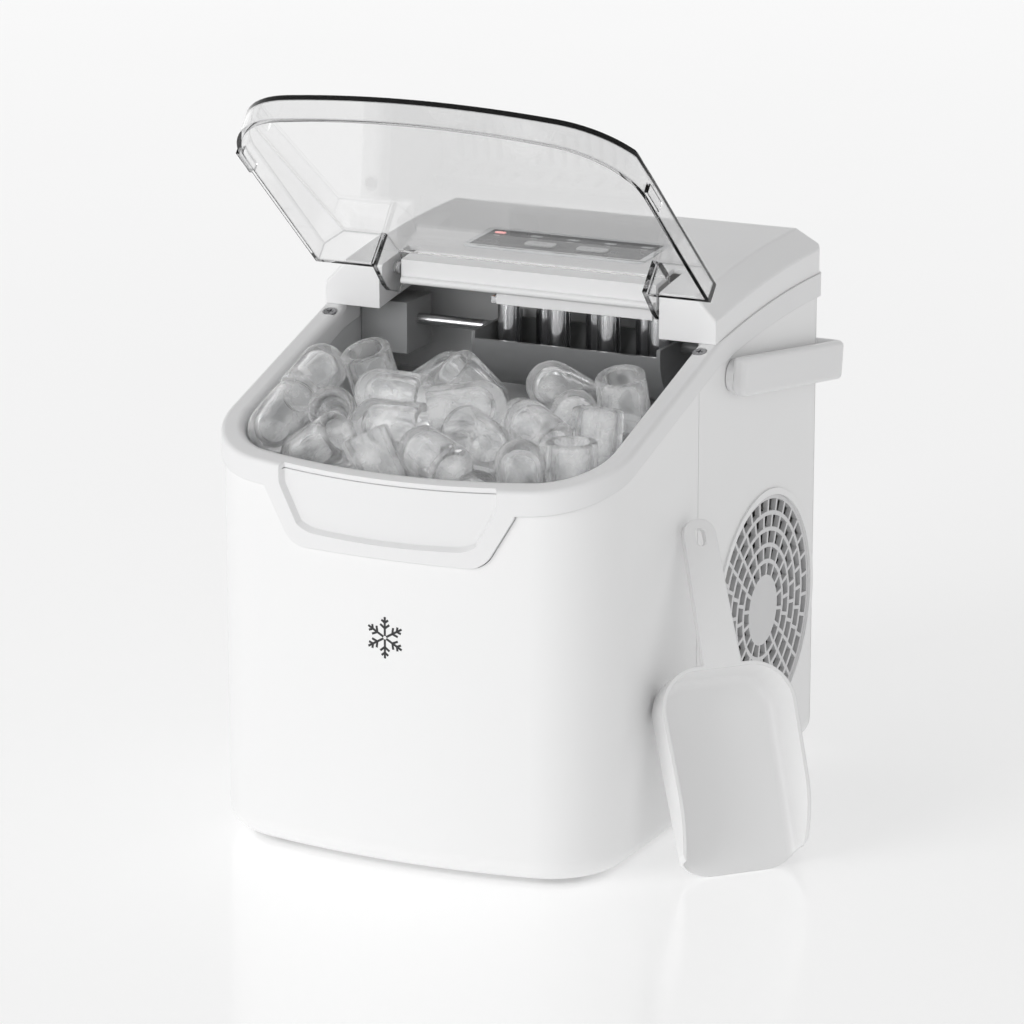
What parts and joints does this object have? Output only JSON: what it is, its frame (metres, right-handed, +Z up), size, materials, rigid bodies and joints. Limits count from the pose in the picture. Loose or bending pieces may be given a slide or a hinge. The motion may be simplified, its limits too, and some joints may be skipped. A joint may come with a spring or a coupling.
{
  "type": "ice maker",
  "caption": "Countertop ice maker with a tilting clear lid over its ice chamber, carry handle, side fan grille, push-button panel and a loose scoop.",
  "frame": {"origin": "on the floor under the middle of the housing, at the standing_plane mount", "axes": "+X to the right as seen from the front, +Y to the back, +Z up"},
  "size_m": [0.3045, 0.3026, 0.3802],
  "materials": {
    "white_shell": "satin moulded",
    "white_frame": "satin moulded",
    "white_cover": "satin moulded",
    "base_plastic": "moulded",
    "foot_rubber": "matt",
    "clear_smoke": "polished clear",
    "pin_plastic": "moulded",
    "screw_steel": "plated",
    "fascia": "printed film",
    "lamp": "translucent",
    "button_plastic": "satin",
    "circuit_board": "solder mask",
    "liner_plastic": "moulded",
    "foam": "closed-cell foam",
    "grey_plastic": "moulded",
    "basket_plastic": "moulded",
    "tray_plastic": "moulded",
    "bright_metal": "plated",
    "stainless": "brushed",
    "black_steel": "painted",
    "black_plastic": "moulded",
    "fin_metal": "stamped",
    "copper_tube": "drawn",
    "black_rubber": "matt",
    "hose_rubber": "translucent silicone",
    "scoop_plastic": "moulded"
  },
  "bodies": {
    "housing": {"base_pan": "base_plastic", "rubber_feet": "foot_rubber", "front_shell": "white_shell", "right_side_panel": "white_shell", "left_side_panel": "white_shell", "rear_panel": "white_shell", "fan_grille": "white_frame", "top_frame": "white_frame", "frame_screws": "screw_steel", "rear_cover": "white_cover", "hinge_pins": "pin_plastic", "control_fascia": "fascia", "indicator_windows": "lamp", "control_board": "circuit_board", "handle_pivots": "stainless", "fan_motor": "black_plastic", "fan_shroud": "black_plastic", "condenser": "fin_metal", "compressor": "black_steel", "compressor_mounts": "black_rubber", "compressor_terminal_cap": "black_plastic", "discharge_tube": "copper_tube", "filter_drier": "copper_tube", "suction_tube": "copper_tube", "capillary_tube": "copper_tube", "chamber_liner": "liner_plastic", "liner_insulation": "foam", "ice_grid": "liner_plastic", "evaporator_plate": "stainless", "evaporator_fingers": "bright_metal", "tray_bearing": "grey_plastic", "tray_motor": "grey_plastic", "ice_level_sensors": "black_plastic", "water_pump": "black_plastic", "pump_inlet_hose": "hose_rubber", "drain_hose": "hose_rubber", "drain_spout": "grey_plastic", "power_inlet": "black_plastic", "rear_screws": "screw_steel"},
    "lid": {"lid": "clear_smoke"},
    "carry_handle": {"handle": "white_frame"},
    "start_button": {"start_button": "button_plastic"},
    "select_button": {"select_button": "button_plastic"},
    "fan": {"fan_blades": "black_plastic"},
    "water_tray": {"water_tray": "tray_plastic", "tray_shaft": "stainless"},
    "ice_pusher": {"ice_pusher": "grey_plastic"},
    "ice_basket": {"ice_basket": "basket_plastic"},
    "drain_plug": {"drain_plug": "black_rubber"},
    "scoop": {"scoop": "scoop_plastic"}
  },
  "joints": [
    {"name": "lid_hinge", "type": "hinge", "parent": "housing", "child": "lid", "pos_m": [0, 0.019, 0.266], "axis": [-1, 0, 0], "range_deg": [-59, 0]},
    {"name": "handle_swing", "type": "hinge", "parent": "housing", "child": "carry_handle", "pos_m": [0, 0.026, 0.227], "axis": [1, 0, 0], "range_deg": [0, 98]},
    {"name": "start_button_push", "type": "slide", "parent": "housing", "child": "start_button", "axis": [0, 0.0506, -0.9987], "range_m": [0, 0.0008], "stiffness_N_per_m": 400},
    {"name": "select_button_push", "type": "slide", "parent": "housing", "child": "select_button", "axis": [0, 0.0506, -0.9987], "range_m": [0, 0.0008], "stiffness_N_per_m": 400},
    {"name": "fan_spin", "type": "hinge", "parent": "housing", "child": "fan", "pos_m": [0.092, 0.072, 0.092], "axis": [1, 0, 0], "continuous": true},
    {"name": "tray_tilt", "type": "hinge", "parent": "housing", "child": "water_tray", "pos_m": [0, 0.036, 0.236], "axis": [1, 0, 0], "range_deg": [0, 45]},
    {"name": "pusher_slide", "type": "slide", "parent": "housing", "child": "ice_pusher", "axis": [0, -1, 0], "range_m": [0, 0.0456]},
    {"name": "basket_lift", "type": "slide", "parent": "housing", "child": "ice_basket", "axis": [0, 0, 1], "range_m": [0, 0.09]},
    {"name": "plug_pull", "type": "slide", "parent": "housing", "child": "drain_plug", "axis": [0, 1, 0], "range_m": [0, 0.03]},
    {"name": "scoop_away", "type": "slide", "parent": "housing", "child": "scoop", "axis": [0.7071, 0, 0.7071], "range_m": [0, 0.2]}
  ],
  "couplings": [
    {"joint": "pusher_slide", "follows": "tray_tilt", "m_per_rad": 0.0573}
  ]
}
